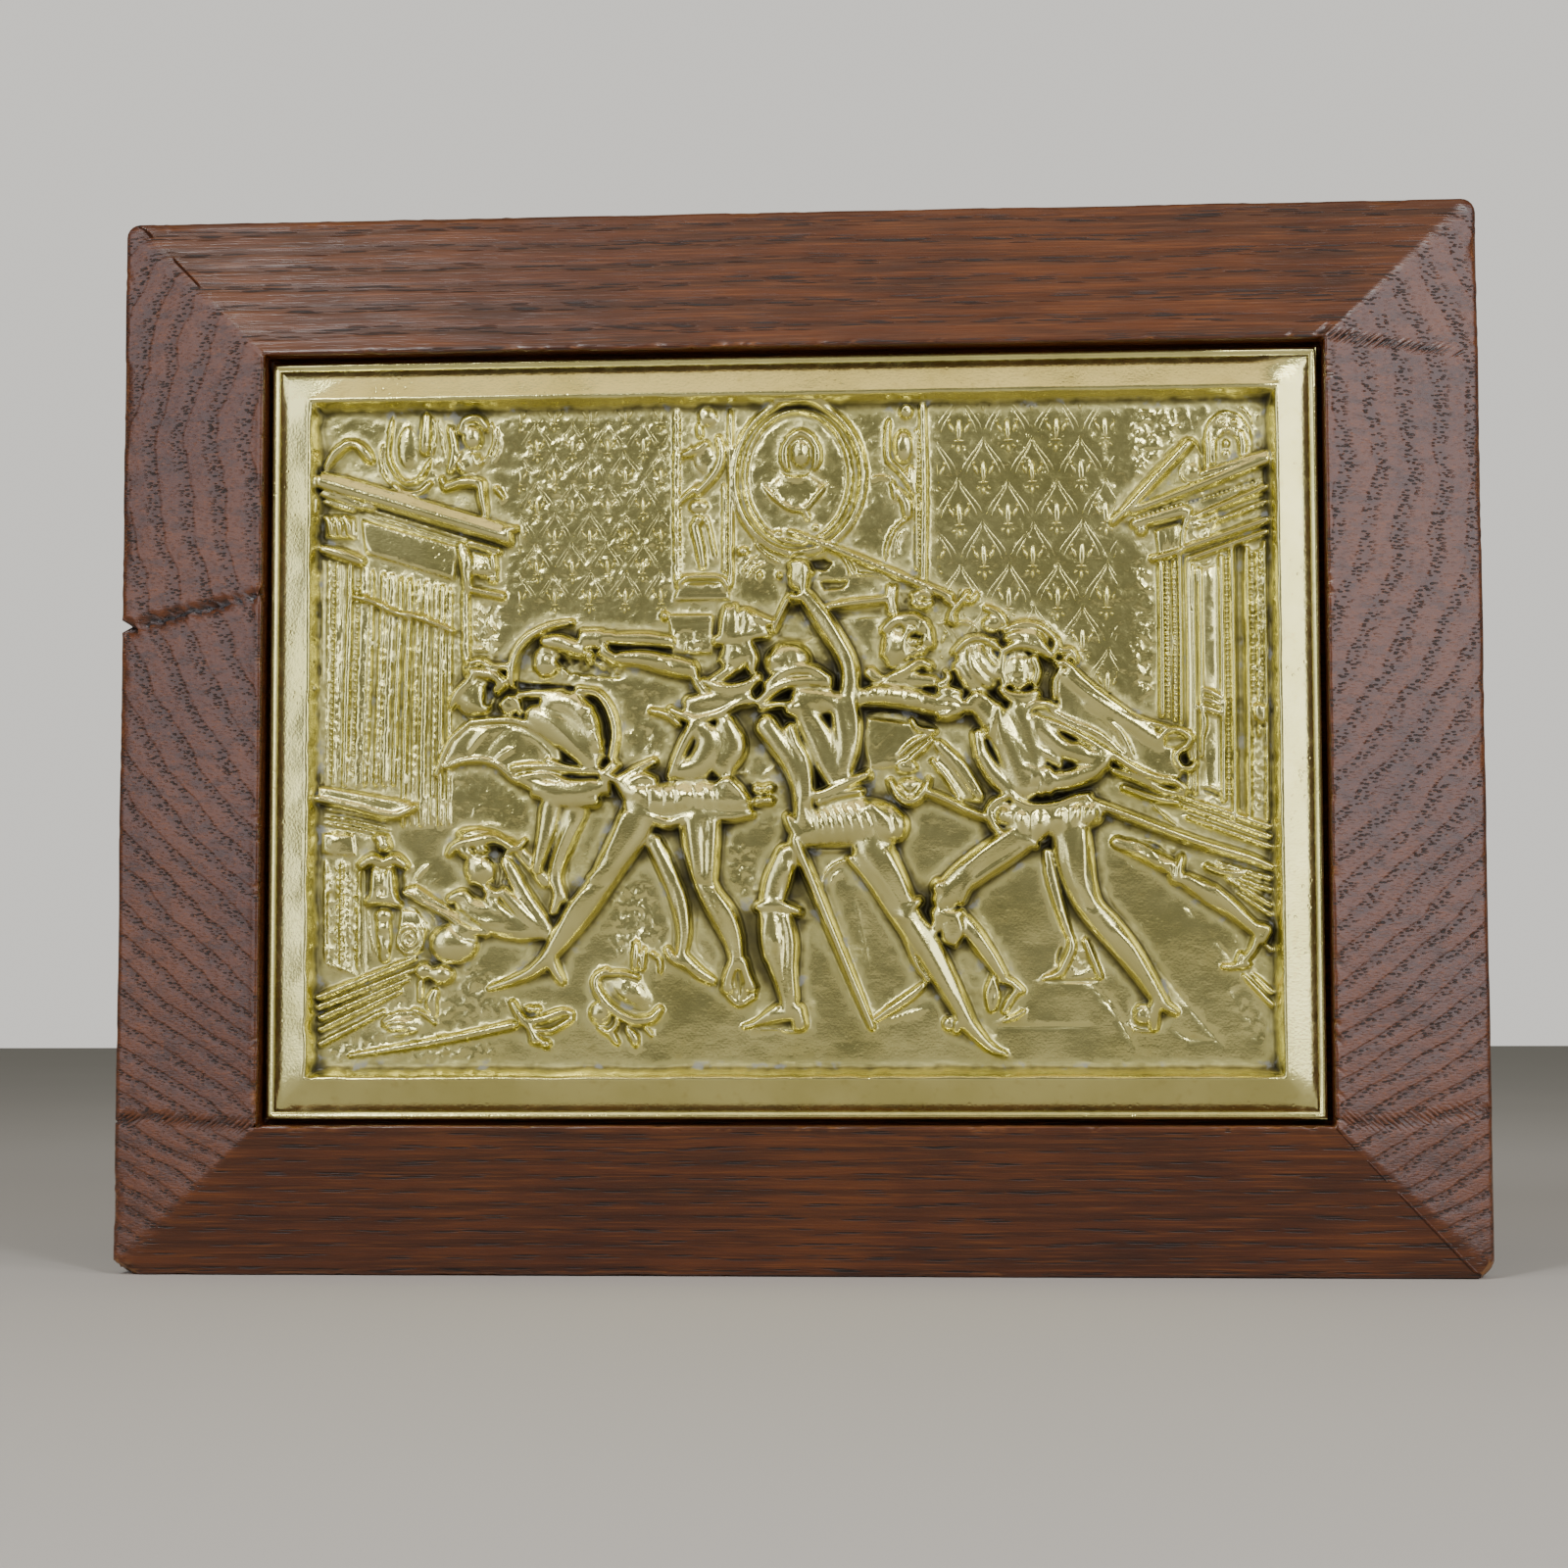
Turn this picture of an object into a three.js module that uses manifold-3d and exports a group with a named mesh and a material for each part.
// Relief plaque: a cast brass relief of brawling swordsmen, set in the well of a
// bevelled solid oak block that hangs on a wall.
// Millimetres. +Z up, +X to the right as seen from the front, the front faces -Y and
// the flat back of the oak lies in the plane y = 0, with the origin at its centre.

import * as THREE from 'three';
import { ConvexGeometry } from 'three/addons/geometries/ConvexGeometry.js';
import { mergeVertices } from 'three/addons/utils/BufferGeometryUtils.js';
import Module from 'manifold-3d';

const wasm = await Module();
wasm.setup();

// ---------------------------------------------------------------- driving sizes

const BLOCK = {
  width: 284, // overall, along X
  height: 222, // overall, along Z
  edge: 13, // depth of the square outer edge
  depth: 24, // depth at the sight edge, the highest part
  corner: 3, // radius of the four upright arrises
  arris: 1.6, // softening of the long arrises
};

const WELL = {
  width: 218.5,
  height: 159.5,
  floor: 16.3, // distance of the well's floor from the wall
};

const BRASS = {
  width: 216,
  height: 157,
  back: 16.6, // distance of the casting's flat back from the wall
  field: 19.1, // the ground of the relief
  lip: 20.6, // the narrow flat lip round the outside
  crest: 23.6, // the top of the bevelled border
};

// Plan distances from the casting's edge to each change of its border profile.
const BORDER = { lip: 1.0, groove: 1.6, bevel: 7.8, crest: 8.6, cove: 9.4, field: 10.6 };

const ROOT = 0.8; // how far every raised form is rooted in the casting's ground
const ROUNDED_FROM = 2.5; // radius from which a boss has a rounded shoulder

// ---------------------------------------------------------------- solids

/** A point given by its place on the face and its distance in front of the wall. */
const at = (x, z, front) => new THREE.Vector3(x, -front, z);

/** Turns a closed three.js geometry into a solid that can be joined or cut. */
function toSolid(geometry) {
  const bare = geometry.clone();
  bare.deleteAttribute('normal');
  bare.deleteAttribute('uv');
  const merged = mergeVertices(bare, 1e-4);
  return new wasm.Manifold(
    new wasm.Mesh({
      numProp: 3,
      vertProperties: new Float32Array(merged.attributes.position.array),
      triVerts: new Uint32Array(merged.index.array),
    })
  );
}

function toGeometry(solid) {
  const mesh = solid.getMesh();
  const geometry = new THREE.BufferGeometry();
  geometry.setAttribute('position', new THREE.BufferAttribute(mesh.vertProperties, 3));
  geometry.setIndex(new THREE.BufferAttribute(mesh.triVerts, 1));
  geometry.computeVertexNormals();
  return geometry;
}

/** Joins a list of solids, two by two. */
function join(solids) {
  let round = solids;
  while (round.length > 1) {
    const next = [];
    for (let i = 0; i < round.length; i += 2) {
      next.push(i + 1 < round.length ? round[i].add(round[i + 1]) : round[i]);
    }
    round = next;
  }
  return round[0];
}

const hull = (points) => toSolid(new ConvexGeometry(points));

/** The corner points of a rectangle with rounded corners, anticlockwise from the right. */
function roundedRectangle(halfWidth, halfHeight, radius, steps) {
  const points = [];
  for (let corner = 0; corner < 4; corner += 1) {
    const signX = corner === 0 || corner === 3 ? 1 : -1;
    const signZ = corner < 2 ? 1 : -1;
    for (let i = 0; i <= steps; i += 1) {
      const angle = ((corner + i / steps) * Math.PI) / 2;
      const x = signX * (halfWidth - radius) + radius * Math.cos(angle);
      const z = signZ * (halfHeight - radius) + radius * Math.sin(angle);
      points.push([x, z]);
    }
  }
  return points;
}

/**
 * A solid through a stack of rounded rectangles, the first closing the back and the
 * last closing the front. Each ring is { halfWidth, halfHeight, radius, front }.
 */
function ringStack(rings, steps) {
  const count = 4 * (steps + 1);
  const vertices = [0, -rings[0].front, 0];
  rings.forEach(({ halfWidth, halfHeight, radius, front }) => {
    roundedRectangle(halfWidth, halfHeight, radius, steps).forEach(([x, z]) => {
      vertices.push(x, -front, z);
    });
  });
  vertices.push(0, -rings.at(-1).front, 0);
  const last = vertices.length / 3 - 1;
  const index = [];
  for (let i = 0; i < count; i += 1) {
    const next = (i + 1) % count;
    index.push(0, 1 + next, 1 + i);
    for (let ring = 0; ring < rings.length - 1; ring += 1) {
      const low = 1 + ring * count;
      const high = low + count;
      index.push(low + i, high + next, high + i, low + i, low + next, high + next);
    }
    const top = 1 + (rings.length - 1) * count;
    index.push(last, top + i, top + next);
  }
  const geometry = new THREE.BufferGeometry();
  geometry.setAttribute('position', new THREE.Float32BufferAttribute(vertices, 3));
  geometry.setIndex(index);
  return toSolid(geometry);
}

// ---------------------------------------------------------------- the oak block

/** The split that follows the grain across a bevel: a wedge that narrows to its tip. */
function split([x0, z0], [x1, z1], width, deep) {
  const face = (x, z) => {
    const acrossX = (BLOCK.width / 2 - Math.abs(x)) / ((BLOCK.width - WELL.width) / 2);
    const acrossZ = (BLOCK.height / 2 - Math.abs(z)) / ((BLOCK.height - WELL.height) / 2);
    return BLOCK.edge + (BLOCK.depth - BLOCK.edge) * Math.min(acrossX, acrossZ, 1);
  };
  const points = [];
  [[x0, z0, width], [x1, z1, width * 0.45]].forEach(([x, z, wide]) => {
    points.push(at(x, z + wide / 2, face(x, z) + 1), at(x, z - wide / 2, face(x, z) + 1));
    points.push(at(x, z, face(x, z) - deep));
  });
  return hull(points);
}

/** A chip off a lower outer corner of the block. */
function chip(side, wide, high) {
  const x = (side * BLOCK.width) / 2;
  const z = -BLOCK.height / 2;
  return hull([
    at(x - side * wide, z - 1, BLOCK.edge + 3),
    at(x + side, z + high, BLOCK.edge + 3),
    at(x + side, z - 1, BLOCK.edge + 3),
    at(x - side * wide * 0.3, z - 1, BLOCK.edge - 6),
    at(x + side, z + high * 0.3, BLOCK.edge - 6),
    at(x + side, z - 1, BLOCK.edge - 6),
  ]);
}

function oakBlock() {
  const outer = [BLOCK.width / 2, BLOCK.height / 2];
  const sight = [WELL.width / 2, WELL.height / 2];
  const soft = BLOCK.arris;
  const slope = (share) => ({
    halfWidth: THREE.MathUtils.lerp(outer[0], sight[0], share),
    halfHeight: THREE.MathUtils.lerp(outer[1], sight[1], share),
    radius: THREE.MathUtils.lerp(BLOCK.corner, 0.4, share),
    front: THREE.MathUtils.lerp(BLOCK.edge, BLOCK.depth, share),
  });
  const side = (inset, front) => ({
    halfWidth: outer[0] - inset,
    halfHeight: outer[1] - inset,
    radius: BLOCK.corner - inset,
    front,
  });
  const well = (inset, front) => ({
    halfWidth: sight[0] + inset,
    halfHeight: sight[1] + inset,
    radius: 0.4,
    front,
  });
  const block = ringStack(
    [
      side(soft * 0.6, 0),
      side(0, soft * 0.6),
      side(0, BLOCK.edge - soft),
      side(soft * 0.25, BLOCK.edge - soft * 0.35),
      slope(0.035),
      slope(0.96),
      well(0.5, BLOCK.depth),
      well(0, BLOCK.depth - 0.5),
      well(0, WELL.floor),
    ],
    3
  );
  return block
    .subtract(split([-BLOCK.width / 2 - 0.5, 24.3], [-WELL.width / 2 - 0.5, 30], 1.1, 3.5))
    .subtract(split([WELL.width / 2 - 0.8, 80.6], [BLOCK.width / 2 - 4, 78], 0.7, 1.6))
    .subtract(chip(-1, 9, 4))
    .subtract(chip(1, 5, 7));
}

// ---------------------------------------------------------------- raised forms

/**
 * Points of a boss that rises from a rooted foot to a smaller crown, the larger ones over
 * a rounded shoulder. A station is [x, z, radius, top], top above the relief's ground.
 */
function bossPoints([x, z, radius, top], long = radius, tilt = 0) {
  const sides = radius < 1.3 ? 4 : radius < 2.2 ? 5 : 6;
  const rings =
    radius > ROUNDED_FROM ? [[1, -ROOT], [0.82, top * 0.66], [0.42, top]] : [[1, -ROOT], [0.5, top]];
  const turn = THREE.MathUtils.degToRad(tilt);
  const points = [];
  rings.forEach(([scale, height]) => {
    for (let i = 0; i < sides; i += 1) {
      const angle = ((i + 0.5) * 2 * Math.PI) / sides;
      const across = radius * scale * Math.cos(angle);
      const along = long * scale * Math.sin(angle);
      const px = x + across * Math.cos(turn) - along * Math.sin(turn);
      const pz = z + across * Math.sin(turn) + along * Math.cos(turn);
      points.push(at(px, pz, BRASS.field + height));
    }
  });
  return points;
}

/** An oval boss: head, cap, sleeve or ball. */
const boss = (x, z, rx, rz, top, tilt = 0) => hull(bossPoints([x, z, rx, top], rz, tilt));

/** One rounded body drawn over all its stations. */
const mass = (stations) => hull(stations.flatMap((station) => bossPoints(station)));

/** The section of a swept form by its radius: [across, share of the top] per corner. */
function sectionFor(radius) {
  if (radius < 0.8) {
    return [[-1, null], [0, 1], [1, null]];
  }
  if (radius < 2) {
    return [[-1, null], [-0.45, 1], [0.45, 1], [1, null]];
  }
  return [[-1, null], [-0.72, 0.68], [0, 1], [0.72, 0.68], [1, null]];
}

/** One body swept through its stations [x, z, radius, top], its foot rooted in the ground. */
function sweep(stations, section) {
  const vertices = [];
  const index = [];
  const corners = section.length;
  stations.forEach(([x, z, radius, top], i) => {
    const [beforeX, beforeZ] = stations[Math.max(i - 1, 0)];
    const [afterX, afterZ] = stations[Math.min(i + 1, stations.length - 1)];
    const length = Math.hypot(afterX - beforeX, afterZ - beforeZ);
    const acrossX = -(afterZ - beforeZ) / length;
    const acrossZ = (afterX - beforeX) / length;
    section.forEach(([across, share]) => {
      const height = share === null ? -ROOT : top * share;
      vertices.push(x + acrossX * across * radius, -(BRASS.field + height));
      vertices.push(z + acrossZ * across * radius);
    });
  });
  for (let i = 0; i < stations.length - 1; i += 1) {
    const here = i * corners;
    const next = here + corners;
    for (let k = 0; k < corners; k += 1) {
      const other = (k + 1) % corners;
      index.push(here + k, next + k, next + other, here + k, next + other, here + other);
    }
  }
  const end = (stations.length - 1) * corners;
  for (let k = 1; k < corners - 1; k += 1) {
    index.push(0, k, k + 1);
    index.push(end, end + k + 1, end + k);
  }
  const geometry = new THREE.BufferGeometry();
  geometry.setAttribute('position', new THREE.Float32BufferAttribute(vertices, 3));
  geometry.setIndex(index);
  return toSolid(geometry);
}

/** A limb: a swept body that narrows to a rounded tip past each end. */
function limb(stations) {
  const tip = ([fromX, fromZ], [x, z, radius, top]) => {
    const reach = (0.75 * radius) / Math.hypot(x - fromX, z - fromZ);
    return [x + (x - fromX) * reach, z + (z - fromZ) * reach, radius * 0.45, top * 0.6];
  };
  const first = tip(stations[1], stations[0]);
  const last = tip(stations.at(-2), stations.at(-1));
  const widest = Math.max(...stations.map(([, , radius]) => radius));
  return sweep([first, ...stations, last], sectionFor(widest));
}

/** A straight moulding or blade: a low ridge with square ends. */
const ridge = ([x0, z0], [x1, z1], wide, top, { endWide = wide, endTop = top } = {}) =>
  sweep([[x0, z0, wide / 2, top], [x1, z1, endWide / 2, endTop]], sectionFor(wide / 2));

/** A flat-topped raised panel with sloping edges, from its convex corners. */
function panel(corners, top, inset = 0.5) {
  const middleX = corners.reduce((sum, [x]) => sum + x, 0) / corners.length;
  const middleZ = corners.reduce((sum, [, z]) => sum + z, 0) / corners.length;
  const points = [];
  corners.forEach(([x, z]) => {
    const reach = Math.hypot(x - middleX, z - middleZ);
    const share = 1 - inset / reach;
    points.push(at(x, z, BRASS.field - ROOT));
    points.push(at(middleX + (x - middleX) * share, middleZ + (z - middleZ) * share, BRASS.field + top));
  });
  return hull(points);
}

/** A hanging sheet of cloth: its outline raised, with a sloping edge. */
function sheet(outline, top) {
  const shape = new THREE.Shape(outline.map(([x, z]) => new THREE.Vector2(x, z)));
  const geometry = new THREE.ExtrudeGeometry(shape, {
    depth: ROOT + top * 0.5,
    bevelEnabled: true,
    bevelThickness: top * 0.5,
    bevelSize: 0.5,
    bevelOffset: -0.5,
    bevelSegments: 1,
  });
  geometry.rotateX(Math.PI / 2);
  geometry.translate(0, -(BRASS.field - ROOT + 0.1), 0);
  return toSolid(geometry);
}

/** An oval ring moulding. */
function ovalRing(x, z, rx, rz, wide, top, segments) {
  const vertices = [];
  const index = [];
  const section = [[-0.5, -ROOT], [0, top], [0.5, -ROOT]];
  for (let i = 0; i < segments; i += 1) {
    const angle = (i * 2 * Math.PI) / segments;
    section.forEach(([across, height]) => {
      const px = x + (rx + across * wide) * Math.cos(angle);
      const pz = z + (rz + across * wide) * Math.sin(angle);
      vertices.push(px, -(BRASS.field + height), pz);
    });
    const here = 3 * i;
    const next = 3 * ((i + 1) % segments);
    for (let side = 0; side < 3; side += 1) {
      const other = (side + 1) % 3;
      index.push(here + side, here + other, next + other);
      index.push(here + side, next + other, next + side);
    }
  }
  const geometry = new THREE.BufferGeometry();
  geometry.setAttribute('position', new THREE.Float32BufferAttribute(vertices, 3));
  geometry.setIndex(index);
  return toSolid(geometry);
}

// ---------------------------------------------------------------- the casting's plate

function brassPlate() {
  const ring = (inset, front) => ({
    halfWidth: BRASS.width / 2 - inset,
    halfHeight: BRASS.height / 2 - inset,
    radius: 0.6,
    front,
  });
  return ringStack(
    [
      ring(0.3, BRASS.back),
      ring(0, BRASS.back + 0.3),
      ring(0, BRASS.lip - 0.3),
      ring(0.3, BRASS.lip),
      ring(BORDER.lip, BRASS.lip),
      ring((BORDER.lip + BORDER.groove) / 2, BRASS.lip - 0.4),
      ring(BORDER.groove, BRASS.lip),
      ring(BORDER.bevel, BRASS.crest - 0.2),
      ring((BORDER.bevel + BORDER.crest) / 2, BRASS.crest),
      ring(BORDER.crest, BRASS.crest - 0.3),
      ring(BORDER.cove, BRASS.field + 1.4),
      ring(BORDER.field, BRASS.field),
    ],
    1
  );
}

// ---------------------------------------------------------------- the hall behind

/** The oval medallion with a small bust, between two caryatid pilasters. */
function chimneyPiece() {
  return [
    ovalRing(1.8, 53.2, 12.6, 15.2, 2.2, 1.5, 20),
    ovalRing(1.6, 53.2, 10, 13.2, 1.4, 1.1, 20),
    boss(2.3, 58.5, 2.7, 3.5, 1.8),
    boss(-1, 58, 1.2, 2.6, 1.2),
    boss(5.6, 58, 1.2, 2.8, 1.2),
    boss(1.3, 50.6, 6.2, 3.8, 1.3),
    ridge([-23.2, 67.5], [-23.2, 31], 1.6, 0.9),
    ridge([-13.2, 67.5], [-13.2, 31], 1.6, 1.2),
    boss(-16.6, 65.3, 2.1, 2.4, 1.9),
    limb([[-15.5, 61, 2.2, 1.7], [-15.2, 56.5, 2.4, 2.1], [-18.5, 50.5, 1.6, 1.5]]),
    limb([[-18.8, 47.5, 2, 1.6], [-17.4, 36, 1.5, 1.3]]),
    ridge([-23.4, 31.8], [-12.4, 31.8], 1.8, 1.8),
    ridge([26.6, 67.5], [26.6, 31], 1.2, 1.2),
    ridge([28.3, 67.5], [28.3, 31], 1.2, 0.9),
    boss(18.3, 62, 1.5, 2.2, 1.4),
    limb([[23.2, 66, 1.7, 1.8], [22.6, 59.5, 2.2, 2.2], [24.4, 52, 1.4, 1.6]]),
    limb([[24.4, 52, 1.4, 1.6], [24, 45.5, 1.9, 1.9], [20.8, 38, 1.4, 1.3]]),
    boss(-9.2, 35.6, 3, 2.2, 1.4, 20),
    boss(10.4, 35, 3.4, 2.1, 1.3, -25),
    ridge([-12, 31.2], [20, 31.2], 1.4, 1.1),
    ridge([-25.5, 24], [-15.8, 24], 1.3, 1.3),
    ridge([-25.5, 21.4], [-15.8, 21.4], 1.3, 1.1),
    ridge([-25, 19], [-17, 19], 1.1, 1.1),
  ];
}

/** The great cupboard at the left, seen in perspective, with its crowning figures. */
function cupboard() {
  const forms = [
    panel([[-97.6, 56], [-97.6, 52.8], [-57.6, 39.9], [-57, 43.4]], 2.6, 0.9),
    panel([[-89.5, 46.4], [-88.6, 38.6], [-69.8, 32.6], [-68.6, 40.2]], 1, 0.7),
    ridge([-89.5, 48.4], [-61, 39.6], 1.1, 1.5),
    ridge([-88.6, 37.8], [-69.5, 31.9], 1.1, 1.4),
    panel([[-97, 46.6], [-97, 41.2], [-90.6, 41.2], [-90.6, 45.8]], 1.7, 0.7),
    ridge([-97.2, 50.8], [-90.2, 48.2], 1.3, 1.4),
    ridge([-97.2, 39.6], [-89, 36.8], 2.3, 1.9),
    boss(-67.5, 35.4, 1.9, 5, 2.2),
    panel([[-65.8, 38], [-65.8, 33.4], [-60.6, 32.2], [-60.6, 37]], 1.6, 0.6),
    ridge([-66.6, 31], [-60, 29], 1.8, 1.8),
    ridge([-68.4, 30.5], [-68.4, 14.5], 2.6, 1.3),
    limb([[-96.6, 57, 1, 1.5], [-94, 60.2, 1.2, 2], [-91, 61.6, 1.2, 2], [-88, 58.6, 1.2, 1.6]]),
    boss(-79.2, 60, 5.8, 7.2, 1.7),
    boss(-76.2, 62, 2.2, 4.2, 2.6),
    boss(-66.2, 62.2, 3.1, 3.4, 2.5),
    boss(-67.2, 56.3, 3.4, 3.2, 1.9),
    limb([[-70.6, 52.3, 1, 2], [-64.4, 53, 1.2, 2.4], [-63.2, 46.8, 0.9, 1.8]]),
    ridge([-97.6, -12.4], [-79.4, -15.2], 2.6, 2.5),
    ridge([-97.6, -15.2], [-81, -18], 1.4, 1.7),
    ridge([-97.6, -17.6], [-82.4, -20.2], 1, 1.2),
    ridge([-97.6, -54.2], [-77, -45.4], 1.2, 1.6),
    ridge([-97.6, -57.4], [-77, -47.8], 1.4, 2.1),
    ridge([-97.6, -60.4], [-77, -50.6], 1.2, 1.6),
    ridge([-97.6, -63.6], [-84, -56.4], 1.2, 1.6),
  ];
  const spindles = 10;
  for (let i = 0; i < spindles; i += 1) {
    const x = -96.2 + i * 2.72;
    const top = 35.6 - (x + 97) * 0.18;
    forms.push(ridge([x, top], [x, -9.8 - (i > 6 ? 5 : 0)], 1.5, 1.1));
  }
  forms.push(ridge([-90, 29], [-70, 22.8], 0.9, 1.4));
  [-96.6, -93.6, -91.2, -88.8].forEach((x, i) => {
    forms.push(ridge([x, -24.8], [x, -46 - i * 1.1], 1.2, 1.2));
  });
  return forms;
}

/** The terminal figure at the cupboard's foot, and the volute beside it. */
function herm() {
  return [
    boss(-83.6, -21.6, 2.3, 2.4, 2.5),
    boss(-84, -26, 4.7, 1.9, 2.7),
    boss(-84, -29.8, 3.3, 3.6, 3),
    boss(-84, -34, 3.5, 2.2, 2.6),
    limb([[-84.4, -37, 2.3, 1.9], [-84, -45.5, 1.5, 1.4]]),
    boss(-78.4, -41.4, 2.9, 4, 1.6),
  ];
}

/** The door case at the right, seen in perspective under its raking cornice. */
function doorCase() {
  return [
    ridge([66.2, 43.2], [82.6, 60], 2, 2.6),
    ridge([82.8, 60], [85, 52.6], 1.4, 1.6),
    boss(82.7, 53.2, 2.3, 2.4, 1.4),
    ridge([70, 45.6], [97.4, 56.2], 2.4, 2.4),
    ridge([72, 42.4], [97.4, 52], 1.8, 1.8),
    ridge([81.8, 44], [97.4, 49.2], 1.4, 1.5),
    panel([[74.4, 41.2], [75.6, 36], [80.4, 37.6], [80.2, 43]], 1.8, 0.7),
    ridge([80.6, 37.2], [97.4, 42.8], 1.7, 1.8),
    ridge([74.8, 35.2], [80.2, 37], 1.3, 2),
    panel([[85.2, 56], [94.2, 58.6], [94.2, 62.6], [91.4, 65.8], [88.6, 65.4], [85.4, 61]], 1.2),
    ridge([76.2, 34.4], [76.2, 3.4], 1.4, 1.2),
    ridge([78, 34.8], [78, 2.6], 1, 1),
    ridge([79.4, 35], [79.4, 1.8], 0.9, 1),
    ridge([81.4, 36.4], [81.4, -12], 1.6, 1.8),
    ridge([83.6, 33.6], [83.6, -12.4], 1, 1.4),
    ridge([88.2, 36], [88.2, -13.6], 1.2, 1.4),
    ridge([90.6, 38.6], [90.6, -16.4], 0.9, 1.2),
    ridge([93.7, 38], [93.7, -17.2], 1, 1.3),
    ridge([96, 38.6], [96, -18.2], 1.7, 1.3),
    ridge([82.6, 34.4], [88.6, 36.4], 1.2, 1.5),
    ridge([83.8, 8], [88.2, 4.6], 3, 1.9),
    panel([[94.2, 5.4], [94.8, 1.8], [97.2, 1.2], [97, 4.8]], 1.9, 0.5),
    ridge([80.4, -13.8], [97.4, -19.8], 1.2, 1.4),
    ridge([80.4, -17.6], [97.4, -23.4], 1.2, 1.4),
  ];
}

// ---------------------------------------------------------------- things on the floor

function fallenSword() {
  return [
    ridge([-90, -65.2], [-56, -59], 1.5, 1, { endWide: 2.3, endTop: 1.6 }),
    limb([[-56.8, -55.4, 0.9, 1.8], [-51.4, -62.6, 1, 2]]),
    limb([[-53, -59.2, 1.2, 1.9], [-45.6, -57.2, 1.1, 1.5]]),
  ];
}

function plumedHat() {
  return [
    boss(-33.6, -53.4, 7.4, 4.1, 1.5, -32),
    limb([[-39.6, -49.4, 1, 2], [-37.6, -53.6, 1, 2.2], [-33.4, -57.2, 1, 2.4], [-28, -57.4, 1, 2]]),
    boss(-39, -57, 2.9, 2.9, 2.2),
        boss(-31, -45, 1.4, 3.6, 1.7, -8),
    boss(-28, -47.6, 1.3, 3.2, 1.4, -30),
    boss(-36.8, -61.8, 2, 1.5, 1.5, 20),
    boss(-32, -61.8, 2, 1.7, 1.5, -10),
  ];
}

function jugAndBench() {
  return [
    boss(-69.5, -42.4, 5.2, 4.5, 3.2),
    boss(-73, -49, 3.9, 2.7, 2.8),
    boss(-75, -54.6, 2.7, 2.4, 1.4),
    boss(-80.4, -58.4, 5, 2, 1.7, -8),
    ridge([-80.4, -31.8], [-63.6, -41.4], 3.6, 2.2),
  ];
}

// ---------------------------------------------------------------- the brawlers

/** The man who crouches at the lower left, under his broad hat. */
function crouchingMan() {
  return [
    boss(-64, -21.6, 6.2, 2.7, 3, -6),
    limb([[-60.4, -20.8, 1, 2.6], [-55, -23.6, 0.9, 2]]),
    boss(-63.2, -27.4, 3.5, 4, 3),
    boss(-61, -37.8, 9, 4.2, 2.4, -20),
    limb([[-59.4, -31.6, 3.4, 3], [-55.6, -36.4, 3.4, 3.1], [-51.6, -39.8, 2, 2.3]]),
    limb([[-58, -25.6, 1.3, 2], [-50, -38.6, 1.6, 2.2]]),
    limb([[-69, -30.6, 1.5, 2.3], [-62, -34.8, 1.8, 2.7]]),
  ];
}

/** The swordsman at the left who lunges in from behind his cloak. */
function leftSwordsman() {
  return [
    sheet(
      [
        [-66, 3], [-70, 0], [-73.2, -8], [-70.6, -6.2], [-65, -5], [-60.6, -6.6],
        [-56, -9.8], [-51.6, -12], [-47, -9], [-47.4, -4], [-51.6, 1.4], [-58, 2.8],
      ],
      1.9
    ),
    boss(-64.8, 8, 4.7, 4.6, 3.4, -20),
    limb([[-68.6, 9.4, 1.5, 2.8], [-64.6, 13.8, 1.5, 3]]),
    boss(-60.2, 13, 2.6, 2.3, 3.6, -15),
    limb([[-57.6, 12.6, 0.8, 3], [-56.6, 17.4, 0.8, 2.8], [-52.4, 21.8, 0.7, 2.4], [-46.4, 24, 0.6, 1.8]]),
    ridge([-57.4, 13.7], [-20.6, 7.9], 2.7, 3.3, { endWide: 0.9, endTop: 2.6 }),
    boss(-51, 16.8, 3.8, 3.9, 2.4),
    boss(-46.6, 19.2, 4.2, 2.2, 2.9, -18),
    mass([[-51.4, 5, 3.6, 3.6], [-41.6, 5, 4.2, 4.2], [-41, -5, 3, 4]]),
    limb([[-55, -3.6, 2.8, 2.4], [-44, -7.6, 2.6, 3]]),
    limb([[-39.6, 8, 0.8, 2.6], [-36.6, 2.6, 0.9, 2.4], [-37.4, -5.6, 0.9, 2.4]]),
    ...[5.6, 3, 0.5, -1.9, -4.2].map((z, i) => boss(-41.2 + i * 0.6, z, 0.7, 0.7, 4.6)),
    limb([[-54.6, -9, 2, 2.6], [-49, -11.4, 3.4, 3.6], [-42, -12.2, 3.6, 3.8], [-38, -10, 2.2, 3]]),
    limb([[-49.6, -14, 3.2, 3], [-51.6, -27, 1.7, 2.6]]),
    limb([[-44.4, -14, 3.6, 2.4], [-47.2, -28, 2.4, 2.1], [-47.6, -34.6, 2, 1.7]]),
    limb([[-27, -23.4, 2.3, 2.2], [-23.8, -33, 2.2, 2.3], [-22.4, -45, 1.4, 1.9]]),
    limb([[-22.4, -46.4, 1.7, 1.7], [-17.6, -50.4, 1.1, 1.2]]),
  ];
}

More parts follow.
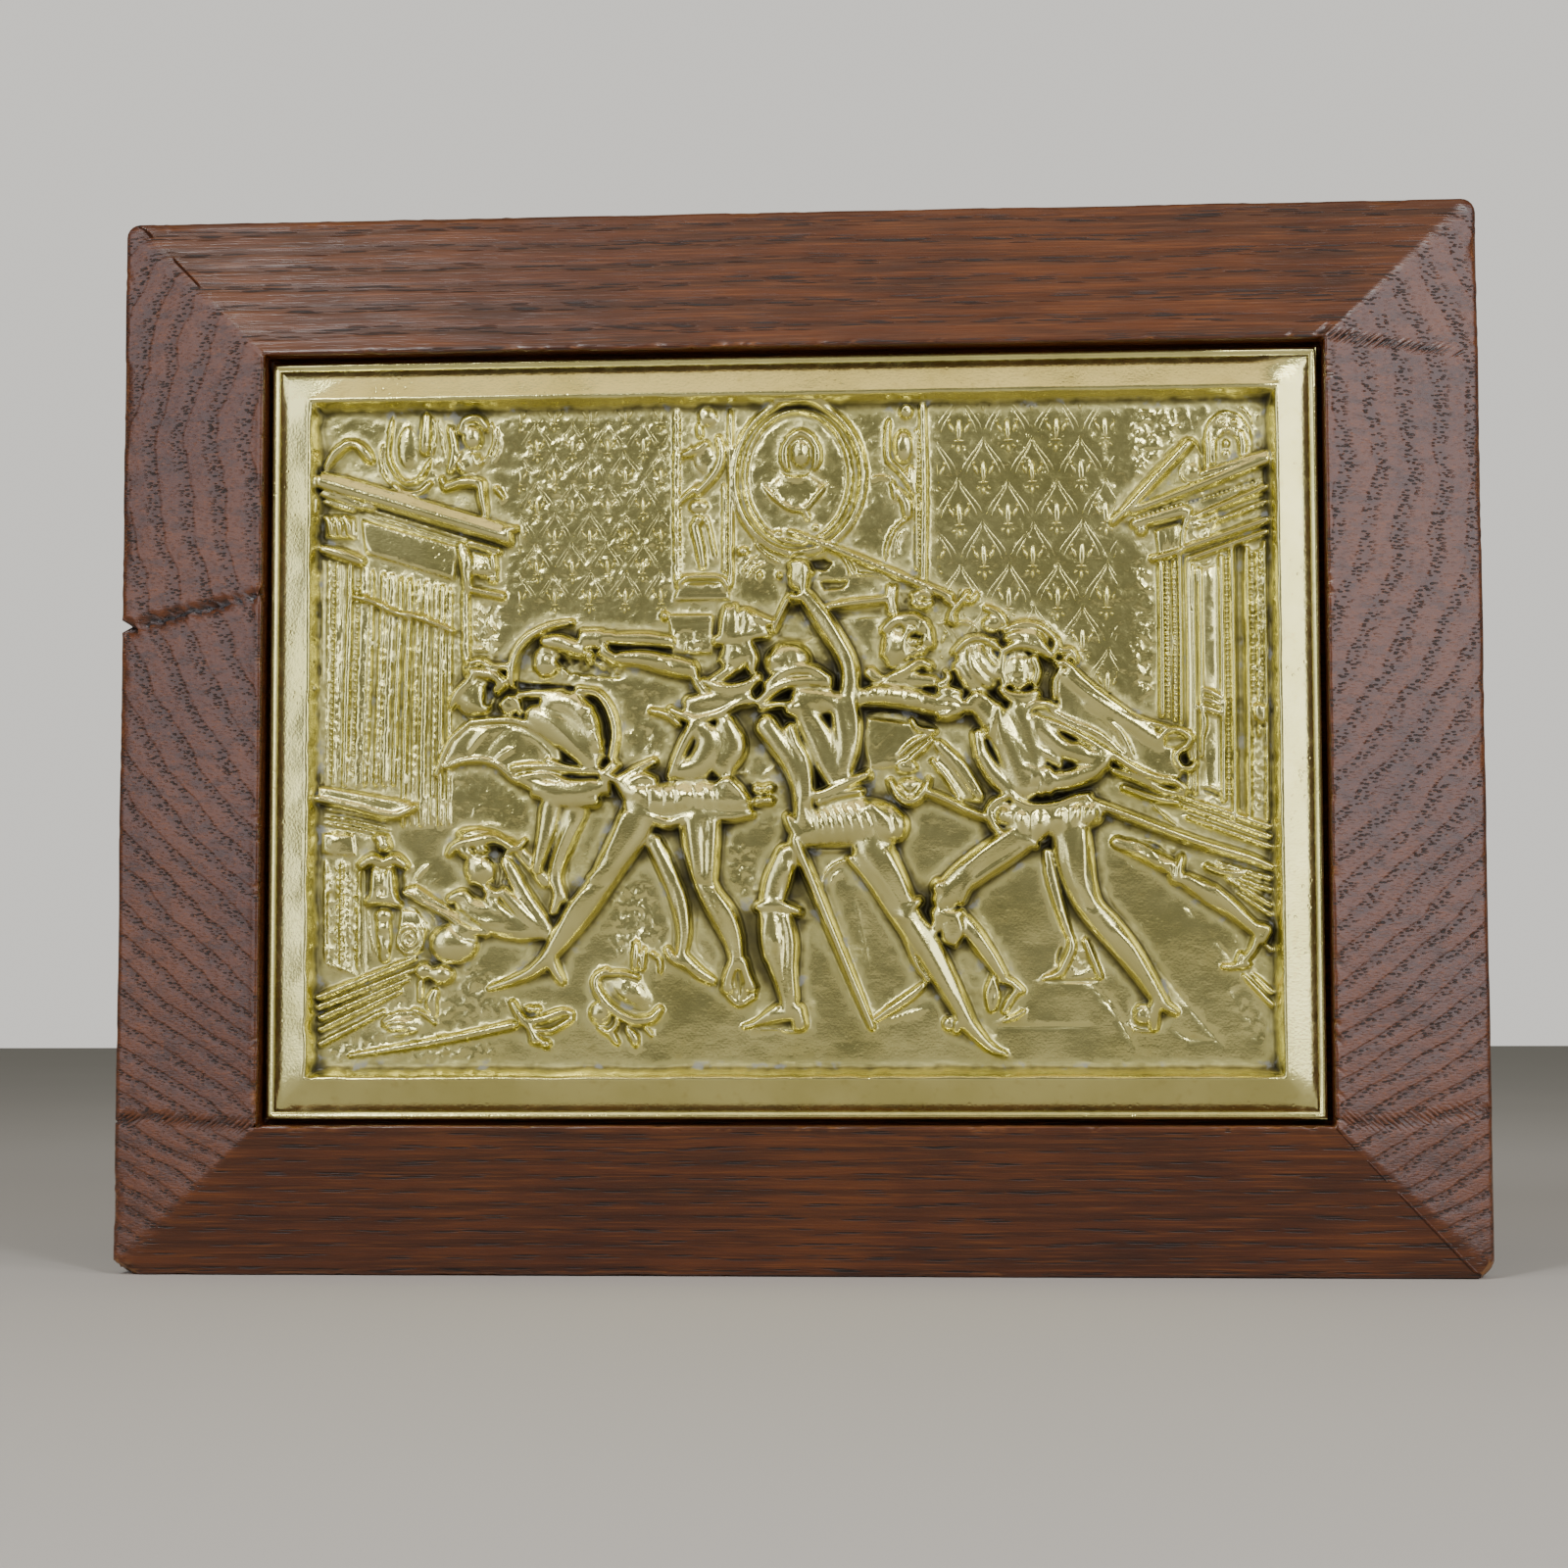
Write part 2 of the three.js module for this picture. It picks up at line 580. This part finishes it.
/** The bearded man who seizes him with both hands. */
function beardedMan() {
  return [
    boss(-9.8, 23, 5, 3.7, 3.3),
    limb([[-13.4, 25.6, 1.2, 3.7], [-13.6, 20.6, 1.2, 3.7]]),
    boss(-10.4, 16.6, 3.9, 4.4, 3.5),
    limb([[-11.6, 13.2, 1.7, 3.5], [-16, 11.4, 0.7, 2.8]]),
    limb([[-17.4, 11, 1.1, 2.8], [-13.4, 9.4, 1.3, 3.4], [-9.2, 9.6, 1.3, 3.4], [-6.6, 12, 1, 2.8]]),
    mass([[-18.4, 6.2, 2.8, 2.8], [-9, 6.8, 3, 3]]),
    mass([[-20, 1.4, 2.8, 3.6], [-10.4, 3, 3.6, 3.8], [-12.6, -6.4, 4, 3.8], [-22.4, -7.6, 2.6, 3.8]]),
    limb([[-26, 20, 1.9, 2.4], [-37, 20.2, 1.8, 2.6]]),
    boss(-41, 20, 2.9, 1.9, 3),
    limb([[-22, 13.8, 2.9, 2.8], [-29, 14.8, 3.2, 3.2], [-35.8, 16.4, 1.8, 2.8]]),
    limb([[-32, -11.6, 3.6, 4], [-25, -12.8, 4.4, 4.3], [-16, -13, 4.4, 4.3], [-8.4, -14.4, 2.8, 3.4]]),
    limb([[-12.6, -10.6, 1.2, 4.6], [-9, -13.4, 1.2, 4.3]]),
    boss(-5.4, -12.6, 1.8, 2.8, 2.8, 15),
    limb([
      [-30.6, -16.5, 5, 4.1], [-34.6, -24.5, 4.1, 4.3], [-38.4, -30, 3.3, 4.1],
      [-43, -35.6, 3.4, 4.2], [-46.6, -40.6, 2.7, 3.9], [-49.6, -45.6, 1.8, 3.4],
    ]),
    limb([[-50, -46.4, 1.7, 3.2], [-54.6, -49.2, 1.3, 2.4], [-61.6, -51.8, 0.6, 1.2]]),
    limb([[-49.4, -46, 1.6, 3.2], [-47.4, -49.2, 1.2, 2]]),
    limb([
      [-18, -17, 5, 4.2], [-18, -24, 4, 4.3], [-17.6, -30.5, 2.9, 3.9],
      [-13.4, -38, 3, 3.9], [-10.9, -46.6, 1.7, 3.2],
    ]),
    mass([[-11, -48.4, 1.8, 3.1], [-12.9, -52, 1.5, 2.2], [-8.2, -51.6, 1.6, 2.2], [-10.5, -54, 1, 1.6]]),
  ];
}

/** The man in the middle, seen from behind, with his sword arm raised. */
function centreSwordsman() {
  return [
    boss(0, 14.6, 5.4, 4.6, 4),
    limb([[-4.4, 7.6, 1.3, 3.6], [-1, 11.4, 1.3, 4], [3.6, 12.9, 1.3, 4.2], [8, 11.6, 1.2, 4]]),
    limb([[10.4, 8.4, 3.4, 4.5], [11.2, 14, 2.6, 4.4], [8.4, 20, 2.2, 4.2], [3.8, 28, 1.8, 3.8]]),
    boss(2.2, 32.2, 2.5, 3.2, 3.8),
    ridge([-3.2, 21.6], [0, 28], 1.2, 2),
    mass([[0.6, 6.4, 3.8, 4.3], [9.2, 5.4, 4.6, 4.8], [5.6, -9, 3.8, 4.6], [11.2, -8.4, 3.4, 4.5]]),
    limb([[-3.8, 1.6, 3.2, 4.6], [0, -4, 2.9, 4.8], [2.5, -11, 2.8, 4.8], [2.8, -16.4, 2.2, 4.7]]),
    boss(2.2, -19.4, 2, 1.9, 4.5),
    limb([[6.4, -12, 0.9, 4.5], [15.4, -8.8, 0.9, 4.4]]),
    mass([[5, -19.6, 4.8, 4.4], [12, -17.8, 7, 4.7], [19, -18, 5.4, 4.6]]),
    ridge([1, -22], [16.4, -60], 2.1, 4.7, { endWide: 1.4, endTop: 1.3 }),
    limb([[-0.8, -24, 3.4, 3.6], [-3.6, -34.2, 2.9, 3.6]]),
    limb([[-6.2, -35.4, 0.9, 3.8], [1.2, -36, 0.9, 3.8]]),
    limb([[-2.8, -38, 4, 4.2], [-2.5, -43.6, 3.3, 4.2], [-0.9, -51, 2.1, 3.6], [0.2, -56, 1.9, 3.2]]),
    limb([[1, -58, 2, 2.9], [-4, -58.3, 1, 2], [-9.2, -59.4, 0.6, 1.1]]),
    limb([
      [17.2, -24.4, 5.4, 4.5], [21, -33, 4.1, 4.4], [24.4, -38.4, 3.2, 4.1],
      [29.2, -45.6, 3.2, 4.2], [32.8, -52.4, 2.4, 3.8], [35.8, -58.4, 1.9, 3.4],
    ]),
    limb([[36.4, -59.8, 1.8, 3.2], [39.6, -62.8, 1.3, 2.2], [43, -65, 0.7, 1.2]]),
    boss(32.8, -40.2, 2.3, 2.5, 3.4, 15),
  ];
}

/** The man beyond, who grasps the next one's collar, and the swords behind his head. */
function manBeyond() {
  return [
    boss(24, 18.4, 4.1, 4.9, 3.1),
    limb([[21.4, 11.6, 1.1, 2.6], [28.2, 13, 1.3, 2.6]]),
    limb([[16.6, 7.6, 2.3, 3.2], [29, 6.8, 2.8, 3.6]]),
    boss(33, 6, 2.6, 2.7, 3.9),
    mass([[17.6, 1.4, 4, 2], [27, 1.4, 3.6, 2.2], [22, -5, 3, 1.6]]),
    boss(27, 27.2, 2.9, 2.5, 2.2),
    ridge([21, 24.6], [21, 30.2], 1.2, 2),
    ridge([8.4, 26.3], [20.6, 27.5], 1.5, 1.6),
    ridge([1.6, 41.4], [33, 28], 1.3, 2.2, { endWide: 1.7 }),
    limb([[33.4, 22.8, 0.9, 2], [36.8, 29.4, 0.9, 1.8]]),
    limb([[36.4, 24, 1.8, 1.6], [43.6, 22, 2.4, 2]]),
    boss(24.5, -11.2, 3.4, 2.9, 2.8),
    boss(24, -6.8, 2.4, 1.5, 1.9),
    ridge([29, -12.6], [40.2, -17.3], 1.7, 2.8),
    mass([[32, -2.6, 3.4, 1.7], [38, -10, 4, 2], [35, -13, 3, 1.6]]),
  ];
}

/** The man at the right in a slashed doublet and a cloak that flies out behind him. */
function rightSwordsman() {
  return [
    boss(38.6, 13.2, 5, 6.2, 4.4, 12),
    boss(49.2, 17.8, 5.1, 3, 3.5, -12),
    boss(47, 12.4, 4, 4.4, 3.3),
    limb([[53, 20, 1.1, 2.6], [58.6, 16.2, 0.9, 2]]),
    boss(47.4, 7.6, 4, 1.9, 3.4),
    mass([[40, 3.4, 3.6, 4.2], [47.2, 3.6, 3.8, 4.3], [43.8, -4.4, 4.6, 4.4], [47.6, -12, 3.8, 4.3]]),
    sheet(
      [
        [54.6, 13.2], [53.6, 9], [54.4, 5.8], [51, 6], [48.2, 4], [50.4, 1.4], [56, -0.6],
        [64, -4.8], [72, -9], [79, -11], [81, -8.6], [82.6, -7], [79.6, -6.6], [79, -4.2],
        [81.8, -1.6], [80.6, 0], [76.4, 0.2], [70, 3.4], [62, 8.4], [57.4, 13.2],
      ],
      2.6
    ),
    ridge([50.4, 3], [66, -5.4], 1.4, 3.6),
    ridge([66, -5.4], [79.6, -10.8], 1.4, 3.4),
    ridge([56, 12.4], [66, 4.2], 1.2, 3.2),
    ridge([66, 4.2], [77, -0.8], 1.2, 3.2),
    limb([[51.6, 1.6, 2, 4], [56.4, -4, 2.1, 4.2], [61.8, -6, 2, 4.2]]),
    limb([[62, -6.4, 1.9, 4.2], [55, -9.4, 2, 4.4], [49.6, -9.9, 2.3, 4.7]]),
    mass([[45.2, -17, 3.8, 4.2], [52, -18, 4.6, 4.5], [60, -17, 4, 4.3]]),
    limb([[46.4, -20.4, 4.2, 4], [38, -27.4, 3.8, 4.1], [32.6, -32.8, 3.4, 3.9]]),
    limb([[35, -36.4, 1.8, 2.8], [39.6, -42.6, 1.9, 2.9], [43.2, -49.2, 1.5, 2.5]]),
    mass([[43.4, -51.4, 1.4, 2.1], [46.4, -52.2, 0.9, 1.6], [43.8, -56.2, 0.9, 1.3]]),
    boss(40.8, -53.2, 1.4, 2.9, 1.6),
    limb([
      [57.2, -21, 4.8, 4.3], [58.8, -30, 3.8, 4.4], [62, -37.4, 3.1, 4.1],
      [68.2, -45, 3.2, 4.1], [74, -54.8, 1.8, 3.3],
    ]),
    mass([[74, -56, 1.6, 3], [77, -57.2, 0.9, 1.6], [72.4, -59, 1.7, 2.2], [69.6, -60, 1, 1.4]]),
    ridge([57, -13], [97.4, -27.6], 2, 3.6, { endWide: 1.6, endTop: 2.4 }),
    limb([[54.2, -26, 1.6, 1.8], [57, -38.6, 1.6, 1.8], [56.2, -46.6, 1.2, 1.5]]),
    limb([[56, -47.2, 1.1, 1.4], [52, -49.4, 0.8, 1]]),
    limb([[60.8, -41.6, 1.2, 1.6], [62.6, -49, 1, 1.3]]),
    limb([[66, -8, 1.3, 1.8], [79.6, -12.6, 1.1, 1.6]]),
  ];
}

/** The leg of one more man, who leaves at the far right. */
function leavingMan() {
  return [
    limb([[68, -23.4, 2, 1.8], [76.4, -27.6, 2.2, 2.2]]),
    boss(78.7, -28, 1.9, 3.1, 2.7),
    limb([[82.4, -30.8, 2.5, 2.8], [88.6, -35, 2.3, 2.9], [94.2, -39.8, 1.7, 2.6]]),
    limb([[94.8, -41.4, 1.6, 2.4], [92.2, -46, 1, 1.8], [88, -48.4, 0.8, 1.2]]),
  ];
}

function brassRelief() {
  return join([
    brassPlate(),
    ...chimneyPiece(),
    ...cupboard(),
    ...herm(),
    ...doorCase(),
    ...fallenSword(),
    ...plumedHat(),
    ...jugAndBench(),
    ...crouchingMan(),
    ...leftSwordsman(),
    ...beardedMan(),
    ...centreSwordsman(),
    ...manBeyond(),
    ...rightSwordsman(),
    ...leavingMan(),
  ]);
}

// ---------------------------------------------------------------- the object

const oak = new THREE.MeshStandardMaterial({ color: 0x4b2611, roughness: 0.42, metalness: 0 });
const brass = new THREE.MeshStandardMaterial({ color: 0x9a8c4f, roughness: 0.28, metalness: 1 });

function piece(name, solid, material) {
  const mesh = new THREE.Mesh(toGeometry(solid), material);
  mesh.name = name;
  return mesh;
}

const plaque = new THREE.Group();
plaque.add(piece('oak_block', oakBlock(), oak));
plaque.add(piece('brass_relief', brassRelief(), brass));

export default plaque;
